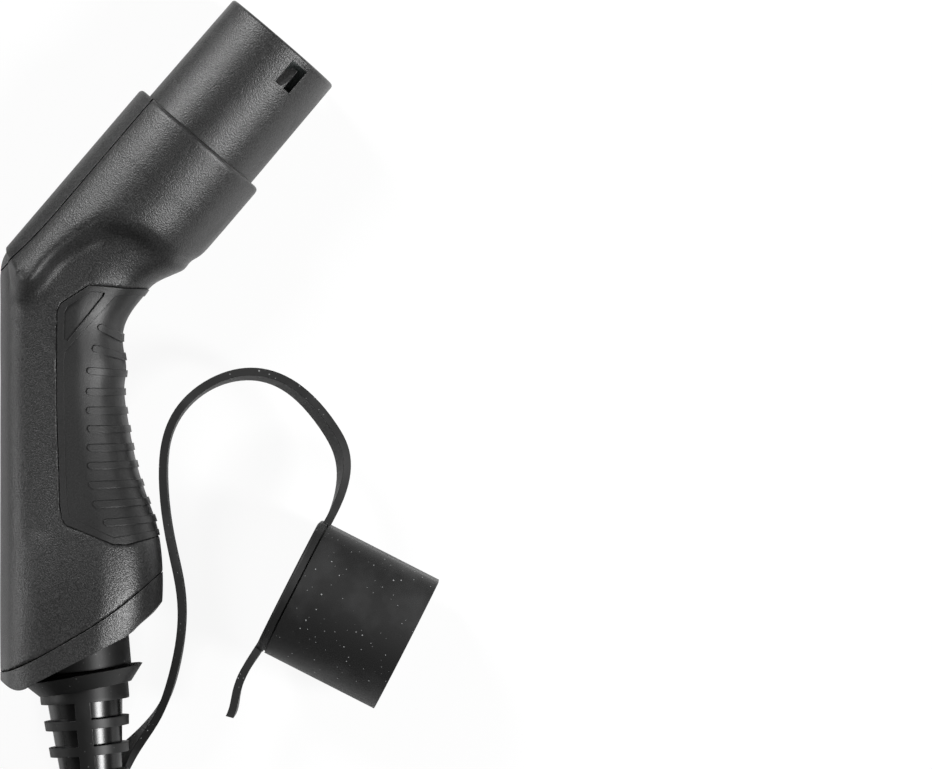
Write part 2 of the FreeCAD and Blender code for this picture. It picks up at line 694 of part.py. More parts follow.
def clamp_screw(across):
    shank = up_rod(size("screw_width") / 2, SCREW_AT, across, HEAD_SEAT - 13, 13)
    head = up_rod(size("screw_head") / 2, SCREW_AT, across, HEAD_SEAT, 2.2)
    slot = Part.makeBox(4.4, 0.7, 1.2, Vector(SCREW_AT - 2.2, across - 0.35, HEAD_SEAT + 1.2))
    return shank.fuse(head).cut(slot)


def neck_pieces(prefix, place, inside=True):
    feature(sleeve_shape(), prefix + "bend_sleeve", place)
    feature(core_shape(), prefix + "bend_core", place)
    tilt = Placement(Vector(1.9, 0, 0), Rotation(Vector(0, 0, 1), size("cuff_tilt")))
    feature(cuff_shape(), prefix + "neck_cuff", place * tilt)
    jacket = turned([(-45, 0), (-45, size("cable_width") / 2),
                     (size("sleeve_start") + size("sleeve_length"), size("cable_width") / 2),
                     (size("sleeve_start") + size("sleeve_length"), 0)])
    feature(jacket, prefix + "cable_end", place)
    if inside:
        feature(clamp_shape(1), "clamp_upper", place)
        feature(clamp_shape(-1), "clamp_lower", place)
        screws = [clamp_screw(size("screw_reach")), clamp_screw(-size("screw_reach"))]
        feature(Part.makeCompound(screws), "clamp_screws", place)
        outer, inner, rear = size("clamp_radius"), size("cable_width") / 2, 0.3 - size("clamp_front")
        grommet = turned([(rear, outer), (rear + 4.9, outer), (rear + 4.9, inner), (rear, inner)])
        feature(grommet, "cable_grommet", place)


neck_pieces("", neck_place)


# Dust cap: one rubber moulding of ring, strap, end plate, pull tab and cup
STRAP = [(195.9, 35.5, -15.8, -86), (189, 41.5, -15.9, -62), (180.5, 48.6, -15.0, -22),
         (169.9, 57.1, -11.5, -6), (157, 63.2, -7.5, 0), (142, 66.8, -4.4, 0), (126, 67.9, -2.6, 0),
         (102.4, 63.8, -1.6, 0), (88, 61.6, -1.3, 0), (75, 61.0, -1.2, 0), (62.6, 62.6, -1.2, 0),
         (52.2, 67.8, -1.2, 2), (44.0, 77.0, -1.2, 4), (39.6, 88.5, -1.2, 8), (40.4, 101.5, -1.2, 12),
         (46.9, 112.7, -1.2, 16), (57.6, 122.2, -1.2, 19), (70, 128.4, -1.2, 18), (80.5, 128.4, -1.2, 10),
         (89, 125.9, -1.2, 3), (99, 120.6, -1.2, 0), (109.3, 114.2, -1.2, 0), (125.4, 106.05, -1.2, 0),
         (139.2, 99.0, -1.2, 0), (149, 92.8, -1.2, 0), (160, 88.4, -1.2, 0), (168.2, 86.1, -1.2, 0)]


def strap_shape():
    """The flat strap: it leaves the ring flat, turns on edge, loops and crosses the end plate to the tab."""
    points = [on_grip(along, front, up) for along, front, up, _ in STRAP]
    half_w, half_t = size("strap_width") / 2, size("strap_thick") / 2
    rings = []
    for index, point in enumerate(points):
        before = points[max(index - 1, 0)]
        after = points[min(index + 1, len(points) - 1)]
        way = after - before
        way.normalize()
        level = Vector(0, 0, 1).cross(way)
        level.normalize()
        upright = way.cross(level)
        twist = math.radians(STRAP[index][3])
        wide = upright * math.cos(twist) + level * math.sin(twist)
        thick = level * math.cos(twist) - upright * math.sin(twist)
        corners = [point + wide * (a * half_w) + thick * (b * half_t)
                   for a, b in ((1, 1), (-1, 1), (-1, -1), (1, -1))]
        rings.append(Part.makePolygon(corners + [corners[0]]))
    return Part.makeLoft(rings, True, False)


cap_turn = Rotation(Vector(0, 0, 1), size("grip_angle") + size("cap_lean"))


def cap_frame():
    """The cap's own frame: x from the end plate to the mouth, y towards the flat of its D."""
    fit = size("cap_fit")
    outer = size("nose_radius") + fit + size("cap_wall")
    flat = size("nose_flat") + fit + size("cap_wall")
    middle = on_grip(118.4, 107.8)
    centre = middle - cap_turn.multVec(Vector(0, (flat - outer) / 2, 0))
    centre.z = outer - size("head_radius")
    return Placement(centre, cap_turn), outer, flat


def dust_cap_shape():
    place, outer, flat = cap_frame()
    wall, plate = size("cap_wall"), size("cap_plate")
    corner = size("nose_corner") + size("cap_fit") + wall
    deep = size("cap_groove")
    cup = d_block(size("cap_length"), plate - 0.01, outer, flat, corner)
    groove = d_block(plate + deep, plate, outer + 2, flat + 2, corner + 2)
    groove = groove.cut(d_block(plate + 2, plate - 1, outer - deep, flat - deep, corner - deep))
    hollow = d_block(size("cap_length") + 1, plate + 0.8, outer - wall, flat - wall, corner - wall)
    lid = d_block(plate, 0, outer, flat, corner)
    edges = [edge for edge in lid.Edges if edge.BoundBox.XMax < 0.01]
    cap = cup.cut(groove).fuse(lid.makeFillet(size("cap_round"), edges)).cut(hollow)
    cap.Placement = place
    waist = size("sleeve_start") + 3 * size("window_pitch") + size("window_offset")
    inner = size("seat_radius") + 0.2
    ring = turned([(waist + 0.3, inner), (waist + 0.3, inner + size("ring_wall")),
                   (waist + size("seat_length") - 0.3, inner + size("ring_wall")),
                   (waist + size("seat_length") - 0.3, inner)])
    ring.Placement = neck_place
    strap = strap_shape().cut(cap_hollow(place, outer, flat, corner))
    bore = neck_rod(inner, waist - 2, waist + size("seat_length") + 2)
    return cap.fuse([strap.cut(bore), ring])


def cap_hollow(place, outer, flat, corner):
    wall = size("cap_wall")
    hollow = d_block(size("cap_length") + 30, size("cap_plate") - 0.4, outer - wall, flat - wall,
                     corner - wall)
    hollow.Placement = place
    return hollow


feature(dust_cap_shape(), "dust_cap")


# Cable: a lead down to the coil's upper layer, a coil of two layers beside the neck and a tail to the plug
floor = -size("head_radius")
low_height = floor + size("cable_width") / 2
top_height = low_height + size("cable_width")
coil_reach = size("coil_mean_radius") + (size("turns_wide") - 1) * size("cable_width") / 2
exit_at = size("sleeve_start") + size("sleeve_length")
coil_at = exit_at + size("coil_ahead")
LEAD = [on_neck(exit_at), on_neck(exit_at + 24.7), on_neck(exit_at + 49.7, 0, top_height),
        on_neck(coil_at, 0, top_height)]
coil_centre = on_neck(coil_at, -coil_reach)
# The tail, by how far it lies from the coil's end towards the plug, how far in, and its height
TAIL = [on_neck(coil_at - ahead, inward - 2 * coil_reach, height) for ahead, inward, height in
        ((0, 0, low_height), (24, 0, low_height), (47.2, 4.0, -18.6), (78.9, 16.0, -4.7), (102.1, 20, 0),
         (126.1, 20, 0))]

lead, lead_length, lead_radii = tube(LEAD, size("cable_width") / 2)
tail, tail_length, tail_radii = tube(TAIL, size("cable_width") / 2)
print("lead", round(lead_length, 1), "radii", [round(r) for r in lead_radii])
print("tail", round(tail_length, 1), "radii", [round(r) for r in tail_radii])


def coil_shape():
    half_width = size("turns_wide") * size("cable_width") / 2
    height = size("turns_high") * size("cable_width")
    mean = size("coil_mean_radius")
    base = Vector(coil_centre.x, coil_centre.y, floor)
    ring = Part.makeCylinder(mean + half_width, height, base)
    ring = ring.cut(Part.makeCylinder(mean - half_width, height, base))
    round_edges = [edge for edge in ring.Edges if len(edge.Vertexes) == 1 and edge.Length > 100]
    return ring.makeFillet(size("cable_width") * 0.45, round_edges)


def tie_shape():
    """A hook-and-loop tie round the coil's section."""
    half_width = size("turns_wide") * size("cable_width") / 2
    height = size("turns_high") * size("cable_width")
    mean = size("coil_mean_radius")
    thick, wide = size("tie_thick"), size("tie_width")
    outer = Part.makeBox(2 * half_width + 2 * thick, wide, height + thick,
                         Vector(mean - half_width - thick, -wide / 2, 0))
    edges = [edge for edge in outer.Edges if abs(edge.BoundBox.YLength - wide) < 0.01]
    outer = outer.makeFillet(size("cable_width") * 0.45, edges)
    inner = Part.makeBox(2 * half_width, wide + 2, height - thick,
                         Vector(mean - half_width, -wide / 2 - 1, thick))
    edges = [edge for edge in inner.Edges if abs(edge.BoundBox.YLength - wide - 2) < 0.01]
    shape = outer.cut(inner.makeFillet(size("cable_width") * 0.4, edges))
    turn = neck_turn * Rotation(Vector(0, 0, 1), size("tie_turn"))
    shape.Placement = Placement(Vector(coil_centre.x, coil_centre.y, floor), turn)
    return shape


tie = tie_shape()
feature(lead, "cable_lead")
feature(coil_shape().cut([lead, tail, tie]), "cable_coil")
feature(tie, "coil_tie")
feature(tail, "cable_tail")


# Plug for the charging post: the same body with bare pins in its nose, lying beside the connector
plug_place = Placement(TAIL[-1] - on_neck(exit_at), Rotation())
by_label = {obj.Label: obj for obj in nodes}
for label in ("grip_housing", "top_cover", "grip_pad", "end_cap"):
    feature(by_label[label].Shape.copy(), "plug_" + label, plug_place)


def pin_radius(small):
    return size("signal_bore" if small else "pin_bore") / 2


def pin_carrier_shape():
    plate = plate_x()
    shape = inner_d(plate, plate - 10, size("running_gap"))
    holes = [x_rod(pin_radius(small) + 0.85, plate - 6, plate + 1, side, up)
             for side, up, small in all_places()]
    return shape.cut(holes)


def pin_shape(side, up, small):
    radius = pin_radius(small)
    end = plate_x() + size("bore_depth")
    shape = x_rod(radius, plate_x() - 1, end, side, up)
    tip = [edge for edge in shape.Edges if abs(edge.BoundBox.XMin - end) < 0.01
           and len(edge.Vertexes) == 1 and edge.BoundBox.XLength < 0.01]
    base = x_rod(radius + 0.8, plate_x() - 5.9, plate_x(), side, up)
    return shape.makeChamfer(radius * 0.35, tip).fuse(base)


feature(nose_shape(latches=False), "plug_nose", plug_place)
feature(pin_carrier_shape(), "plug_pin_carrier", plug_place)
for (side, up, small), (label, _, _) in zip(all_places(), POWER + SIGNAL):
    feature(pin_shape(side, up, small), label.replace("contact", "plug_pin"), plug_place)
neck_pieces("plug_", plug_place * neck_place, inside=False)


# Check every object and every sub-part, then write one file each
doc.recompute()
for obj in doc.Objects:
    if "Invalid" in obj.State or "Error" in obj.State:
        raise RuntimeError("failed: " + obj.Label)
os.makedirs("parts", exist_ok=True)
for obj in nodes:
    if obj.Shape.isNull() or not obj.Shape.isValid():
        raise RuntimeError("not a valid shape: " + obj.Label)
for obj in nodes:
    obj.Shape.exportStep(os.path.join("parts", obj.Label + ".step"))
print(len(nodes), "parts")
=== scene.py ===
import bmesh
import bpy
import json
import math
from mathutils import Matrix, Vector


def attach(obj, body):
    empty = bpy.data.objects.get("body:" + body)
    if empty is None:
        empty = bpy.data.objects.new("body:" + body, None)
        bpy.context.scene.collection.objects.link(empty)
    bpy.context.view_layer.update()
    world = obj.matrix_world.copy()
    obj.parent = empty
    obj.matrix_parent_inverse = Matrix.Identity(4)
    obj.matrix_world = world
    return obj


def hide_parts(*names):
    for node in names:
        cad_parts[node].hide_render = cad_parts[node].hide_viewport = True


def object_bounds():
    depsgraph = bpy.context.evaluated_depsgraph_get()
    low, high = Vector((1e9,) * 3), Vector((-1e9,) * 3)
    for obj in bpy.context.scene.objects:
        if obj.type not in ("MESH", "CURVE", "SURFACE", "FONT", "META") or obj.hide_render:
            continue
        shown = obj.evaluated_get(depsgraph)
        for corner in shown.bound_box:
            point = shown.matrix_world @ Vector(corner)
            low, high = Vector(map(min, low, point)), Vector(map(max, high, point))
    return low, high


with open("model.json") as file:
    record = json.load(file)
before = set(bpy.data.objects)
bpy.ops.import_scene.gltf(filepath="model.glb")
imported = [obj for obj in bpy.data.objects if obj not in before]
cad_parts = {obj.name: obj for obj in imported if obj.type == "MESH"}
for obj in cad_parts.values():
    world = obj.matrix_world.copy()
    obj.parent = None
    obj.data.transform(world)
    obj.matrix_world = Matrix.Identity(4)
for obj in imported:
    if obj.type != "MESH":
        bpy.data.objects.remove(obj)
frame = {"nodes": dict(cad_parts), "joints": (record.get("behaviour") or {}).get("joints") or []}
cad_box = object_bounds()


# Housing, top cover, end cap and nose. PC and ABS mouldings from spark-eroded tools: the grain is half a
# millimetre across and gives the charcoal surface its dry sparkle. Screwed together from behind.
MM = 0.001
HOUSING_GREY, HOUSING_SPARK = "#161616", "#363636"


def linear(code):
    """An sRGB hex colour as linear red, green, blue and alpha."""
    shares = [int(code[place:place + 2], 16) / 255 for place in (1, 3, 5)]
    return [s / 12.92 if s <= 0.04045 else ((s + 0.055) / 1.055) ** 2.4 for s in shares] + [1.0]


def add(tree, kind, sockets, **settings):
    """Add a node, with its settings, its sockets' values and the links that come into it."""
    made = tree.nodes.new("ShaderNode" + kind)
    for name, value in settings.items():
        setattr(made, name, value)
    for name, value in sockets.items():
        if isinstance(value, bpy.types.NodeSocket):
            tree.links.new(value, made.inputs[name])
        else:
            made.inputs[name].default_value = value
    return made


def cleared(owner):
    """The node tree of a material or a world, with nothing in it."""
    owner.use_nodes = True
    owner.node_tree.nodes.clear()
    return owner.node_tree


def new_finish(name, **sockets):
    """A material with one shader on it, and the object's own coordinates."""
    material = bpy.data.materials.new(name)
    tree = cleared(material)
    values = {socket.replace("_", " "): value for socket, value in sockets.items()}
    shader = add(tree, "BsdfPrincipled", values)
    add(tree, "OutputMaterial", {"Surface": shader.outputs["BSDF"]})
    place = add(tree, "TexCoord", {}).outputs["Object"]
    return material, tree, shader, place


def grained(tree, shader, place, colours, across, depth, edge):
    """A moulded grain: two near colours and a bump, both from one noise, over softened edges."""
    grain = add(tree, "TexNoise", {"Vector": place, "Scale": 1 / across, "Detail": 2.0, "Roughness": 0.6})
    cloud = add(tree, "TexNoise", {"Vector": place, "Scale": 1 / (60 * MM), "Detail": 2.0})
    shade = add(tree, "MapRange", {"Value": grain.outputs["Fac"], "From Min": 0.38, "From Max": 0.68})
    speck = add(tree, "Mix", {0: shade.outputs["Result"], 6: linear(colours[0]), 7: linear(colours[1])},
                data_type="RGBA")
    tree.links.new(speck.outputs[2], shader.inputs["Base Color"])
    rough = add(tree, "MapRange", {"Value": cloud.outputs["Fac"], "From Min": 0.3, "From Max": 0.7,
                                   "To Min": shader.inputs["Roughness"].default_value - 0.03,
                                   "To Max": shader.inputs["Roughness"].default_value + 0.05})
    tree.links.new(rough.outputs["Result"], shader.inputs["Roughness"])
    soft = add(tree, "Bevel", {"Radius": edge}, samples=4)
    bump = add(tree, "Bump", {"Height": grain.outputs["Fac"], "Strength": 0.5, "Distance": depth,
                              "Normal": soft.outputs["Normal"]})
    tree.links.new(bump.outputs["Normal"], shader.inputs["Normal"])


def dress(material, slot, *names):
    """Give CAD nodes a material. The slot argument is not used."""
    for name in names:
        node = frame["nodes"][name]
        node.data.materials.clear()
        node.data.materials.append(material)


def moulded_plastic():
    material, tree, shader, place = new_finish("moulded_pc_abs", Roughness=0.36, IOR=1.5)
    grained(tree, shader, place, (HOUSING_GREY, HOUSING_SPARK), 0.55 * MM, 0.32 * MM, 0.35 * MM)
    return material


housing_finish = moulded_plastic()
dress(housing_finish, "housing_plastic", "top_cover", "end_cap", "nose_shell", "plug_grip_housing",
      "plug_top_cover", "plug_end_cap", "plug_nose")


# Grip housing. The CAD surface is laid over again with a fine, even mesh and polished as the mould is, so
# that the shoulder flows into the hollow under the head and a soft crease runs down the grip's side.
WELD, SKIN_STEP = 0.001 * MM, 0.75 * MM
POLISH_PASSES, ALL_OVER_PASSES = 60, 1
POLISHED_X = (-140 * MM, -66 * MM)
FLANK_FROM, PARTING_Y = 17 * MM, 15.5 * MM
HEAD_WALL_FROM, LIP_BELOW = 27.5 * MM, -18 * MM
PAD_FROM, PAD_EDGE = 5.5 * MM, 22.5 * MM
CREASE = [(-10.2, 26.7), (3.0, 15.0), (25.6, 14.3), (67.8, 14.6), (96.0, 15.2)]
CREASE_DEPTH, CREASE_REACH = 0.5 * MM, 4.5 * MM
ELBOW, GRIP_TURN = Vector((-129.6, 22.5)) * MM, math.radians(220.5)


def on_grip_side(place):
    """A point's place in the grip's own frame: down the grip, and towards its finger side."""
    return Matrix.Rotation(-GRIP_TURN, 2) @ (Vector(place[:2]) - ELBOW)


def away_from_crease(place):
    """The distance from a point of the grip to the crease's line, in the grip's own frame."""
    corners = [Vector(corner) * MM for corner in CREASE]
    nearest = 1.0
    for start, end in zip(corners, corners[1:]):
        along = end - start
        share = min(max((place - start).dot(along) / along.length_squared, 0.0), 1.0)
        nearest = min(nearest, (place - start - along * share).length)
    return nearest


def polish(skin, verts, passes):
    """Move each of the vertices half way to the middle of its neighbours, pass by pass."""
    for _ in range(passes):
        bmesh.ops.smooth_vert(skin, verts=verts, factor=0.5, use_axis_x=True, use_axis_y=True,
                              use_axis_z=True)


def polished(node):
    """A closed copy of the housing with an even skin, polished at the shoulder."""
    merged = node.data.copy()
    skin = bmesh.new()
    skin.from_mesh(merged)
    bmesh.ops.remove_doubles(skin, verts=skin.verts, dist=WELD)
    skin.to_mesh(merged)
    skin.free()
    rough = bpy.data.objects.new("rough_" + node.name, merged)
    bpy.context.scene.collection.objects.link(rough)
    rough.matrix_world = node.matrix_world
    remesh = rough.modifiers.new("even_skin", "REMESH")
    remesh.mode = "VOXEL"
    remesh.voxel_size = SKIN_STEP
    even = bpy.data.meshes.new_from_object(rough.evaluated_get(bpy.context.evaluated_depsgraph_get()))
    even.transform(rough.matrix_world)
    bpy.data.objects.remove(rough)
    skin = bmesh.new()
    skin.from_mesh(even)
    polish(skin, skin.verts, ALL_OVER_PASSES)
    flank = []
    for vert in skin.verts:
        place = vert.co
        aside = on_grip_side(place)
        on_pad = aside.x > PAD_FROM and aside.y > PAD_EDGE
        at_shoulder = POLISHED_X[0] < place.x < POLISHED_X[1]
        if abs(place.z) > FLANK_FROM and not on_pad:
            depth = CREASE_DEPTH * math.exp(-(away_from_crease(aside) / CREASE_REACH) ** 2)
            vert.co.z -= math.copysign(depth, place.z)
            if at_shoulder and place.y < PARTING_Y:
                flank.append(vert)
        elif (at_shoulder and place.y < LIP_BELOW and not on_pad
              and math.hypot(place.y, place.z) > HEAD_WALL_FROM):
            flank.append(vert)
    polish(skin, flank, POLISH_PASSES)
    skin.to_mesh(even)
    skin.free()
    even.shade_smooth()
    made = bpy.data.objects.new("polished_" + node.name, even)
    bpy.context.scene.collection.objects.link(made)
    made.data.materials.clear()
    made.data.materials.append(housing_finish)
    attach(made, "cable")
    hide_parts(node.name)


polished(frame["nodes"]["grip_housing"])


# Alignment mark. A small triangle of white paint dabbed by hand on the flat of the collar, over the nose's
# key, so that the driver finds which way up the plug goes in.
MARK_WIDTH, MARK_LENGTH, MARK_THICK = 4.2 * MM, 4.6 * MM, 0.12 * MM
MARK_TIP, MARK_SEAT = -45.6 * MM, 25.4 * MM


def paint():
    material, tree, shader, place = new_finish("brushed_on_paint", Base_Color=linear("#e8e8e6"),
                                               Roughness=0.6)
    wear = add(tree, "TexNoise", {"Vector": place, "Scale": 1 / (0.7 * MM), "Detail": 4.0})
    bump = add(tree, "Bump", {"Height": wear.outputs["Fac"], "Strength": 0.6, "Distance": 0.1 * MM})
    tree.links.new(bump.outputs["Normal"], shader.inputs["Normal"])
    return material


def finished(name, shape, material):
    """Turn a bmesh into an object of the cable, with its material."""
    bmesh.ops.recalc_face_normals(shape, faces=shape.faces)
    mesh = bpy.data.meshes.new(name)
    shape.to_mesh(mesh)
    shape.free()
    mesh.materials.append(material)
    made = bpy.data.objects.new(name, mesh)
    bpy.context.scene.collection.objects.link(made)
    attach(made, "cable")
    return made


mark = bmesh.new()
mark_base = MARK_TIP - MARK_LENGTH
corners = [(MARK_TIP, 0), (mark_base, MARK_WIDTH / 2), (mark_base, -MARK_WIDTH / 2)]
film = mark.faces.new([mark.verts.new((along, MARK_SEAT, across)) for along, across in corners])
raised = bmesh.ops.extrude_face_region(mark, geom=[film])
bmesh.ops.translate(mark, verts=[item for item in raised["geom"] if isinstance(item, bmesh.types.BMVert)],
                    vec=(0, MARK_THICK, 0))
finished("alignment_mark", mark, paint())


# Grip overlay. Thermoplastic rubber moulded over the housing on the finger side, with a raised border, a
# small window and eleven ribs. Finer grained and a little darker than the housing.
def overlay_rubber():
    material, tree, shader, place = new_finish("overmoulded_tpe", Roughness=0.42, IOR=1.47)
    grained(tree, shader, place, ("#161616", "#242424"), 0.45 * MM, 0.12 * MM, 0.3 * MM)
    return material


dress(overlay_rubber(), "pad_rubber", "grip_pad", "plug_grip_pad")


# Contact carrier. Glass-filled polyamide, moulded in one piece with seven sleeves: the glass gives it a
# coarse, greenish grey grain. The black plate in front of it is polished, and so are the retainer, the clamp
# and the plug's pin carrier.
def filled_polyamide():
    material, tree, shader, place = new_finish("glass_filled_polyamide", Roughness=0.5, IOR=1.53)
    grained(tree, shader, place, ("#4a504f", "#727a78"), 0.45 * MM, 0.16 * MM, 0.25 * MM)
    return material


def polished_black():
    material, tree, shader, place = new_finish("polished_black_abs", Base_Color=linear("#0b0b0c"),
                                               Roughness=0.16, IOR=1.52)
    flow = add(tree, "TexNoise", {"Vector": place, "Scale": 1 / (9 * MM), "Detail": 1.0})
    bump = add(tree, "Bump", {"Height": flow.outputs["Fac"], "Strength": 0.15, "Distance": 0.3 * MM})
    tree.links.new(bump.outputs["Normal"], shader.inputs["Normal"])
    return material


black_plate = polished_black()
grey_polyamide = filled_polyamide()
dress(grey_polyamide, "insert_plastic", "contact_insert", "contact_sleeves")
dress(black_plate, "plate_plastic", "face_plate", "contact_retainer", "plug_pin_carrier", "clamp_upper",
      "clamp_lower")


# Numerals. One to seven, raised a fifth of a millimetre above the sleeves' faces, so that the contacts can
# be told apart when the carrier is wired.
SLEEVE_FACE = 1.5 * MM
NUMERAL_RAISED, NUMERAL_SUNK = 0.2 * MM, 0.3 * MM
FIGURE_SHARE = 0.72
POWER_ABOVE, POWER_HIGH = 4.95 * MM, 1.7 * MM
SIGNAL_ABOVE, SIGNAL_HIGH = 2.75 * MM, 1.2 * MM
CONTACT_PLACES = [("earth", 0, 0), ("neutral", 0, 14.9), ("phase_one", 0, -14.9), ("phase_two", -13.2, -7.4),
                  ("phase_three", -13.2, 7.4), ("pilot", 10.65, 7.2), ("proximity", 10.65, -7.2)]
SIGNALS = ("pilot", "proximity")


def numeral(number, high, side, up):
    """One raised figure on a sleeve's face, a closed mesh, upright with the nose's flat on top."""
    letters = bpy.data.curves.new("numeral", "FONT")
    letters.body = str(number)
    letters.size = high / FIGURE_SHARE
    letters.align_x, letters.align_y = "CENTER", "CENTER"
    letters.extrude = (NUMERAL_RAISED + NUMERAL_SUNK) / 2
    shown = bpy.data.objects.new("numeral", letters)
    flat = bpy.data.meshes.new_from_object(shown)
    bpy.data.objects.remove(shown)
    facing_out = Matrix(((0, 0, 1), (0, 1, 0), (-1, 0, 0))).to_4x4()
    seat = Vector((SLEEVE_FACE + (NUMERAL_RAISED - NUMERAL_SUNK) / 2, side, up))
    flat.transform(Matrix.Translation(seat) @ facing_out)
    return flat


figures = bmesh.new()
for number, (contact, side, up) in enumerate(CONTACT_PLACES, 1):
    above, high = (SIGNAL_ABOVE, SIGNAL_HIGH) if contact in SIGNALS else (POWER_ABOVE, POWER_HIGH)
    figures.from_mesh(numeral(number, high, side * MM + above, up * MM))
bmesh.ops.remove_doubles(figures, verts=figures.verts, dist=WELD)
finished("contact_numerals", figures, grey_polyamide)


# Ejector marks. Six shallow round witness lands on the polished plate, where the mould's pins pushed it out.
PLATE_FACE = -33.5 * MM
LAND_RADIUS, LAND_RAISED, LAND_SUNK = 3.2 * MM, 0.12 * MM, 0.2 * MM
LAND_PLACES = [(9.9, 17.3), (9.9, -17.3), (12.9, 0), (-10.2, 17.6), (-10.2, -17.6), (-19.0, 0)]

lands = bmesh.new()
for side, up in LAND_PLACES:
    seat = Vector((PLATE_FACE + (LAND_RAISED - LAND_SUNK) / 2, side * MM, up * MM))
    bmesh.ops.create_cone(lands, cap_ends=True, segments=40, radius1=LAND_RADIUS, radius2=LAND_RADIUS,
                          depth=LAND_RAISED + LAND_SUNK,
                          matrix=Matrix.Translation(seat) @ Matrix.Rotation(math.pi / 2, 4, "Y"))
finished("plate_lands", lands, black_plate)


# Socket contacts and pins. Copper alloy turned on a lathe and plated, pale gold: the tool marks run round
# and catch the light, and the bore's floor is a bright cone.
CONTACTS = [place[0] for place in CONTACT_PLACES]
POWER_BORE, SIGNAL_BORE = 3.0 * MM, 1.5 * MM
BLADES, BLADE_CUTS, BLADE_LONG, BLADE_FROM = 12, 7, 7 * MM, -1.5 * MM
BLADE_WIDE, BLADE_THICK, BLADE_BOW, BLADE_TWIST = 0.55 * MM, 0.12 * MM, 0.32 * MM, 0.35


def plated_copper(name, colour):
    material, tree, shader, place = new_finish(name, Base_Color=linear(colour), Metallic=1.0, Roughness=0.22)
    marks = add(tree, "TexNoise", {"Vector": place, "Scale": 1 / (0.8 * MM), "Detail": 3.0})
    bump = add(tree, "Bump", {"Height": marks.outputs["Fac"], "Strength": 0.2, "Distance": 0.03 * MM})
    tree.links.new(bump.outputs["Normal"], shader.inputs["Normal"])
    return material


gold_plate = plated_copper("plated_copper_alloy", "#e9dba6")
dress(gold_plate, "contact_metal", *["contact_" + name for name in CONTACTS],
      *["plug_pin_" + name for name in CONTACTS])


def crown(bore):
    """A socket's spring crown: thin blades, bowed inwards and twisted a little round the bore."""
    blades = bmesh.new()
    bmesh.ops.create_cube(blades, size=1.0)
    lengths = [edge for edge in blades.edges if abs(edge.verts[0].co.x - edge.verts[1].co.x) > 0.5]
    bmesh.ops.subdivide_edges(blades, edges=lengths, cuts=BLADE_CUTS)
    for vert in blades.verts:
        share = 0.5 - vert.co.x
        radius = bore - BLADE_THICK - BLADE_BOW * math.sin(math.pi * share) + BLADE_THICK * vert.co.z
        turned = BLADE_TWIST * share + BLADE_WIDE * vert.co.y / bore
        vert.co = (BLADE_FROM - BLADE_LONG * share, radius * math.sin(turned), radius * math.cos(turned))
    bmesh.ops.spin(blades, geom=blades.verts[:] + blades.edges[:] + blades.faces[:], cent=(0, 0, 0),
                   axis=(1, 0, 0), angle=2 * math.pi * (BLADES - 1) / BLADES, steps=BLADES - 1,
                   use_duplicate=True)
    ring = bpy.data.meshes.new("crown")
    blades.to_mesh(ring)
    blades.free()
    return ring


crowns = bmesh.new()
for contact, side, up in CONTACT_PLACES:
    ring = crown(SIGNAL_BORE if contact in SIGNALS else POWER_BORE)
    ring.transform(Matrix.Translation((0, side * MM, up * MM)))
    crowns.from_mesh(ring)
finished("spring_crowns", crowns, gold_plate)


# Insulated wires. Stranded copper in extruded PVC, one colour for each conductor, crimped into the backs
# of the contacts and gathered into the cable's jacket.
WIRE_COLOURS = {"earth": "#5f8a1f", "neutral": "#2459a8", "phase_one": "#5a3a22", "phase_two": "#1b1b1c",
                "phase_three": "#7c7e80", "pilot": "#d8d8d4", "proximity": "#b8402c"}


def wire_pvc(name, colour):
    return new_finish("pvc_" + name, Base_Color=linear(colour), Roughness=0.35)[0]


for wire, colour in WIRE_COLOURS.items():
    dress(wire_pvc(wire, colour), "wire_insulation", "wire_" + wire)


# Clamp screws. Small zinc-plated steel screws that draw the two halves of the strain clamp together.
def zinc_steel():
    return new_finish("zinc_plated_steel", Base_Color=linear("#a9abad"), Metallic=1.0, Roughness=0.3)[0]


dress(zinc_steel(), "screw_steel", "clamp_screws")


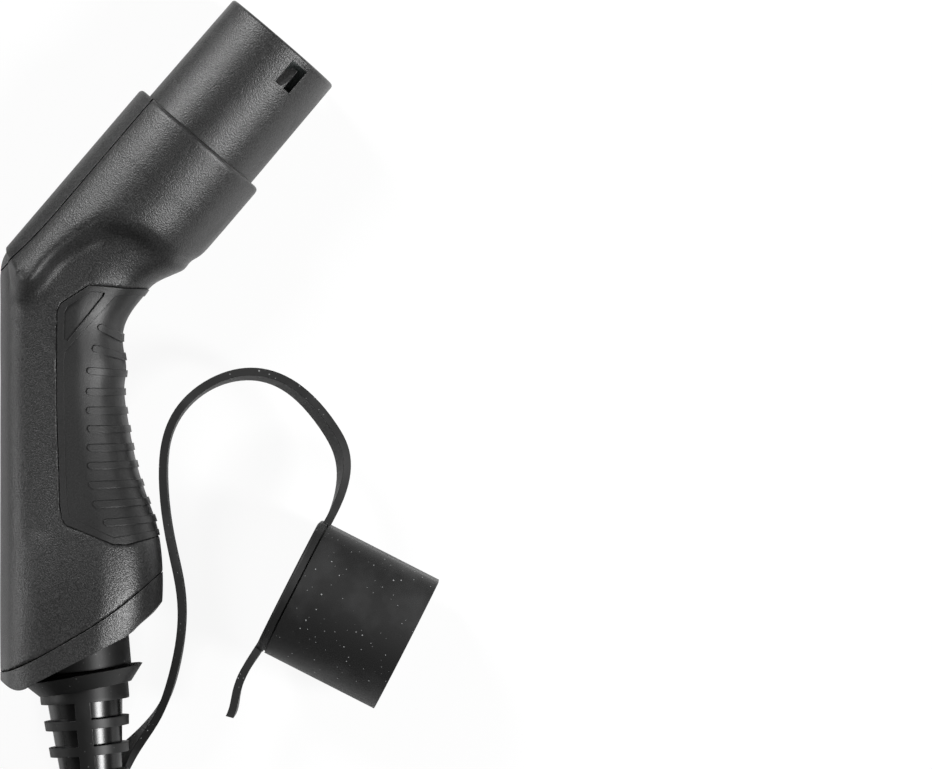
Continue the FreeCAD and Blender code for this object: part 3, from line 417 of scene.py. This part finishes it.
# Bend sleeve, cuff and grommet. Matt moulded rubber with a little dust on it, over a polished core that
# shows black and wet-looking through the sleeve's windows.
def matt_rubber(name, colour, dust, rough):
    """Moulded rubber: a dry skin, white dust in specks of a quarter of a millimetre, and faint smudges."""
    material, tree, shader, place = new_finish(name, Roughness=rough, IOR=1.38)
    skin = add(tree, "TexNoise", {"Vector": place, "Scale": 1 / (0.5 * MM), "Detail": 3.0})
    smudge = add(tree, "TexNoise", {"Vector": place, "Scale": 1 / (16 * MM), "Detail": 3.0})
    specks = add(tree, "TexVoronoi", {"Vector": place, "Scale": 1 / (1.9 * MM)})
    chance = add(tree, "SeparateColor", {"Color": specks.outputs["Color"]})
    reach = add(tree, "MapRange", {"Value": chance.outputs["Green"], "To Min": 0.07, "To Max": 0.15})
    near = add(tree, "Math", {0: specks.outputs["Distance"], 1: reach.outputs["Result"]},
               operation="LESS_THAN")
    kept = add(tree, "MapRange", {"Value": chance.outputs["Red"], "From Min": 0.35, "From Max": 0.9})
    lint = add(tree, "Math", {0: near.outputs[0], 1: kept.outputs["Result"]}, operation="MULTIPLY")
    haze = add(tree, "MapRange", {"Value": smudge.outputs["Fac"], "From Min": 0.5, "From Max": 0.8,
                                  "To Max": 0.06})
    film = add(tree, "Math", {0: lint.outputs[0], 1: haze.outputs["Result"]}, operation="MAXIMUM")
    amount = add(tree, "Math", {0: film.outputs[0], 1: dust}, operation="MULTIPLY")
    tone = add(tree, "Mix", {0: amount.outputs[0], 6: linear(colour), 7: linear("#c4c5c6")},
               data_type="RGBA")
    tree.links.new(tone.outputs[2], shader.inputs["Base Color"])
    soft = add(tree, "Bevel", {"Radius": 0.35 * MM}, samples=4)
    bump = add(tree, "Bump", {"Height": skin.outputs["Fac"], "Strength": 0.4, "Distance": 0.07 * MM,
                              "Normal": soft.outputs["Normal"]})
    tree.links.new(bump.outputs["Normal"], shader.inputs["Normal"])
    return material


def polished_core():
    return new_finish("polished_core", Base_Color=linear("#0a0a0a"), Roughness=0.26, IOR=1.42)[0]


dress(matt_rubber("sleeve_rubber", "#111111", 0.2, 0.45), "sleeve_rubber", "bend_sleeve", "neck_cuff",
      "cable_grommet", "plug_bend_sleeve", "plug_neck_cuff")
dress(polished_core(), "core_plastic", "bend_core", "plug_bend_core")


# Dust cap. One EPDM rubber moulding of cup, end plate, strap and ring: soft, matt and dusty, because the
# rubber holds every speck.
dress(matt_rubber("epdm_rubber", "#171717", 0.5, 0.55), "cap_rubber", "dust_cap")


# Cable. Four metres of round charging cable in a smooth thermoplastic jacket, from the bend sleeve down to
# the floor, round in a coil of two layers, and on to the plug. A hook-and-loop tie holds the coil.
CABLE = 16 * MM
RING_AT = 46.05 * MM
LEAD = [(87.3, 0, 0), (112, 0, 0), (137, 0, -7.35), (162, 0, -7.35)]
TAIL = [(162, -208, -23.35), (138, -208, -23.35), (114.8, -204, -18.6), (83.1, -192, -4.7), (59.9, -188, 0),
        (35.9, -188, 0)]
COIL_CENTRE = (162, -104)
OUTER_TURN, LAYER = 104, 16
TURNS_DOWN, TURNS_IN_ALL = 4, 7.5
STEP_IN_AT, STEP_IN_OVER = 0.75, 0.25
STEP_OUT_AT, STEP_OUT_OVER = 0.4, 0.24
DROP_BEFORE, DROP_OVER = 0.36, 0.24
TOP_LAYER = -7.35
POINTS_A_TURN = 20
swivel = frame["joints"][0]
down_neck = Vector(swivel["axis"])
across_neck = Vector((-down_neck.y, down_neck.x, 0))
neck_top = Vector(swivel["pos_m"]) - down_neck * RING_AT


def on_neck(along, front, up):
    """A point in the neck's own frame, in millimetres down the neck, to its front and up, in the row's."""
    return neck_top + (down_neck * along + across_neck * front + Vector((0, 0, up))) * MM


def eased(value):
    """A share from nought to one that starts and ends gently."""
    value = min(max(value, 0.0), 1.0)
    return value * value * (3 - 2 * value)


def coil_points():
    """Turns side by side: to the middle on the upper layer, down, and out again on the lower one."""
    points = []
    for step in range(1, int(TURNS_IN_ALL * POINTS_A_TURN)):
        turn = step / POINTS_A_TURN
        whole = int(turn)
        if whole < TURNS_DOWN:
            step_in = eased((turn - whole - STEP_IN_AT) / STEP_IN_OVER)
            inward = min(whole + step_in, TURNS_DOWN - 1)
        else:
            step_out = eased((turn - whole - STEP_OUT_AT) / STEP_OUT_OVER)
            inward = max(2 * TURNS_DOWN - 1 - whole - step_out, 0)
        radius = OUTER_TURN - LAYER * inward
        angle = math.radians(90) - turn * 2 * math.pi
        points.append((COIL_CENTRE[0] + radius * math.cos(angle),
                       COIL_CENTRE[1] + radius * math.sin(angle),
                       TOP_LAYER - LAYER * eased((turn - TURNS_DOWN + DROP_BEFORE) / DROP_OVER)))
    return points


def jacket():
    """Extruded jacket: satin, with the faint lay of the cores under it."""
    material, tree, shader, place = new_finish("extruded_tpu_jacket", Base_Color=linear("#1c1c1d"),
                                               Roughness=0.38, IOR=1.5)
    skin = add(tree, "TexNoise", {"Vector": place, "Scale": 1 / (1.5 * MM), "Detail": 3.0})
    bump = add(tree, "Bump", {"Height": skin.outputs["Fac"], "Strength": 0.25, "Distance": 0.08 * MM})
    tree.links.new(bump.outputs["Normal"], shader.inputs["Normal"])
    return material


def route_curve(name, points, width):
    """A round cord along one smooth spline whose control points are the route's."""
    curve = bpy.data.curves.new(name, "CURVE")
    curve.dimensions = "3D"
    spline = curve.splines.new("NURBS")
    spline.points.add(len(points) - 1)
    for knot, point in zip(spline.points, points):
        knot.co = (*on_neck(*point), 1.0)
    spline.order_u = 3
    spline.use_endpoint_u = True
    curve.bevel_depth = width / 2
    curve.bevel_resolution = 6
    curve.resolution_u = 8
    made = bpy.data.objects.new(name, curve)
    bpy.context.scene.collection.objects.link(made)
    return made


cable_jacket = jacket()
cable = route_curve("charging_cable", LEAD + coil_points() + TAIL, CABLE)
cable.data.materials.append(cable_jacket)
dress(cable_jacket, "cable_jacket", "cable_end", "plug_cable_end")
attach(cable, "cable")
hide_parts("cable_lead", "cable_coil", "cable_tail")


# Coil tie. A woven hook-and-loop strap, twenty millimetres wide, passed round the coil and pressed shut.
def woven_tie():
    material, tree, shader, place = new_finish("woven_hook_and_loop", Base_Color=linear("#1f2022"),
                                               Roughness=0.85, Sheen_Weight=0.4)
    loops = add(tree, "TexVoronoi", {"Vector": place, "Scale": 1 / (0.9 * MM)})
    bump = add(tree, "Bump", {"Height": loops.outputs["Distance"], "Strength": 0.8, "Distance": 0.4 * MM})
    tree.links.new(bump.outputs["Normal"], shader.inputs["Normal"])
    return material


dress(woven_tie(), "tie_fabric", "coil_tie")


# Floor. A pale sheet that the cable lies on. The camera sees it as white paper, with a faint shadow.
FLOOR_HALF, EVEN_SHARE = 6.0, 0.92
floor_mesh = bmesh.new()
bmesh.ops.create_grid(floor_mesh, x_segments=1, y_segments=1, size=FLOOR_HALF)
bmesh.ops.translate(floor_mesh, verts=floor_mesh.verts, vec=(0, 0, cad_box[0].z))
floor_data = bpy.data.meshes.new("floor")
floor_mesh.to_mesh(floor_data)
floor_mesh.free()
floor = bpy.data.objects.new("floor", floor_data)
bpy.context.scene.collection.objects.link(floor)


def white_paper():
    """Matt white paper, most of whose light to the camera is even, so that shadows stay faint."""
    material = bpy.data.materials.new("white_paper")
    tree = cleared(material)
    paper = add(tree, "BsdfDiffuse", {"Color": linear("#f2f2f2")})
    glow = add(tree, "Emission", {"Color": (1, 1, 1, 1), "Strength": 1.0})
    seen = add(tree, "LightPath", {})
    share = add(tree, "Math", {0: seen.outputs["Is Camera Ray"], 1: EVEN_SHARE}, operation="MULTIPLY")
    both = add(tree, "MixShader", {0: share.outputs[0], 1: paper.outputs[0], 2: glow.outputs[0]})
    add(tree, "OutputMaterial", {"Surface": both.outputs[0]})
    return material


floor.data.materials.append(white_paper())


# Light. A soft box above the picture's upper left, a stronger one above its lower right, a weak, low one far
# to the left that lines the edges, and an even, dim white round about.
PICTURE_RIGHT, PICTURE_UP = Vector((0.649, -0.760, 0)), Vector((0.760, 0.649, 0))
VIEW_CENTRE = Vector((-48.7, -138.6, 0)) * MM
ROUND_ABOUT = 0.08


def soft_box(name, right, up, high, width, height, power):
    """A rectangular lamp placed from the picture's centre, in metres, and turned towards it."""
    lamp = bpy.data.lights.new(name, "AREA")
    lamp.shape = "RECTANGLE"
    lamp.size, lamp.size_y = width, height
    lamp.energy = power
    box = bpy.data.objects.new(name, lamp)
    bpy.context.scene.collection.objects.link(box)
    box.location = VIEW_CENTRE + PICTURE_RIGHT * right + PICTURE_UP * up + Vector((0, 0, high))
    box.rotation_mode = "QUATERNION"
    box.rotation_quaternion = (VIEW_CENTRE - box.location).to_track_quat("-Z", "Y")


soft_box("left_box", right=-0.8, up=1.12, high=1.15, width=0.35, height=0.55, power=26)
soft_box("right_box", right=1.22, up=-0.42, high=1.3, width=0.3, height=0.6, power=38)
soft_box("edge_box", right=-1.8, up=-0.1, high=0.3, width=0.5, height=1.0, power=12)
world = bpy.data.worlds.new("studio")
studio = cleared(world)
sky = add(studio, "Background", {"Color": linear("#ffffff"), "Strength": ROUND_ABOUT})
add(studio, "OutputWorld", {"Surface": sky.outputs[0]})
bpy.context.scene.world = world


# Camera. It looks straight down on the connector, from two metres, with the grip upright in the picture.
CAMERA_HEIGHT, PICTURE_WIDTH, SENSOR = 2.0, 351.2 * MM, 36.0
lens = bpy.data.cameras.new("camera")
lens.sensor_width = SENSOR
lens.lens = SENSOR * CAMERA_HEIGHT / PICTURE_WIDTH
camera = bpy.data.objects.new("camera", lens)
bpy.context.scene.collection.objects.link(camera)
facing = Matrix((PICTURE_RIGHT, PICTURE_UP, Vector((0, 0, 1)))).transposed().to_4x4()
camera.matrix_world = Matrix.Translation(VIEW_CENTRE + Vector((0, 0, CAMERA_HEIGHT))) @ facing
bpy.context.scene.camera = camera
bpy.context.scene.view_settings.view_transform = "Standard"
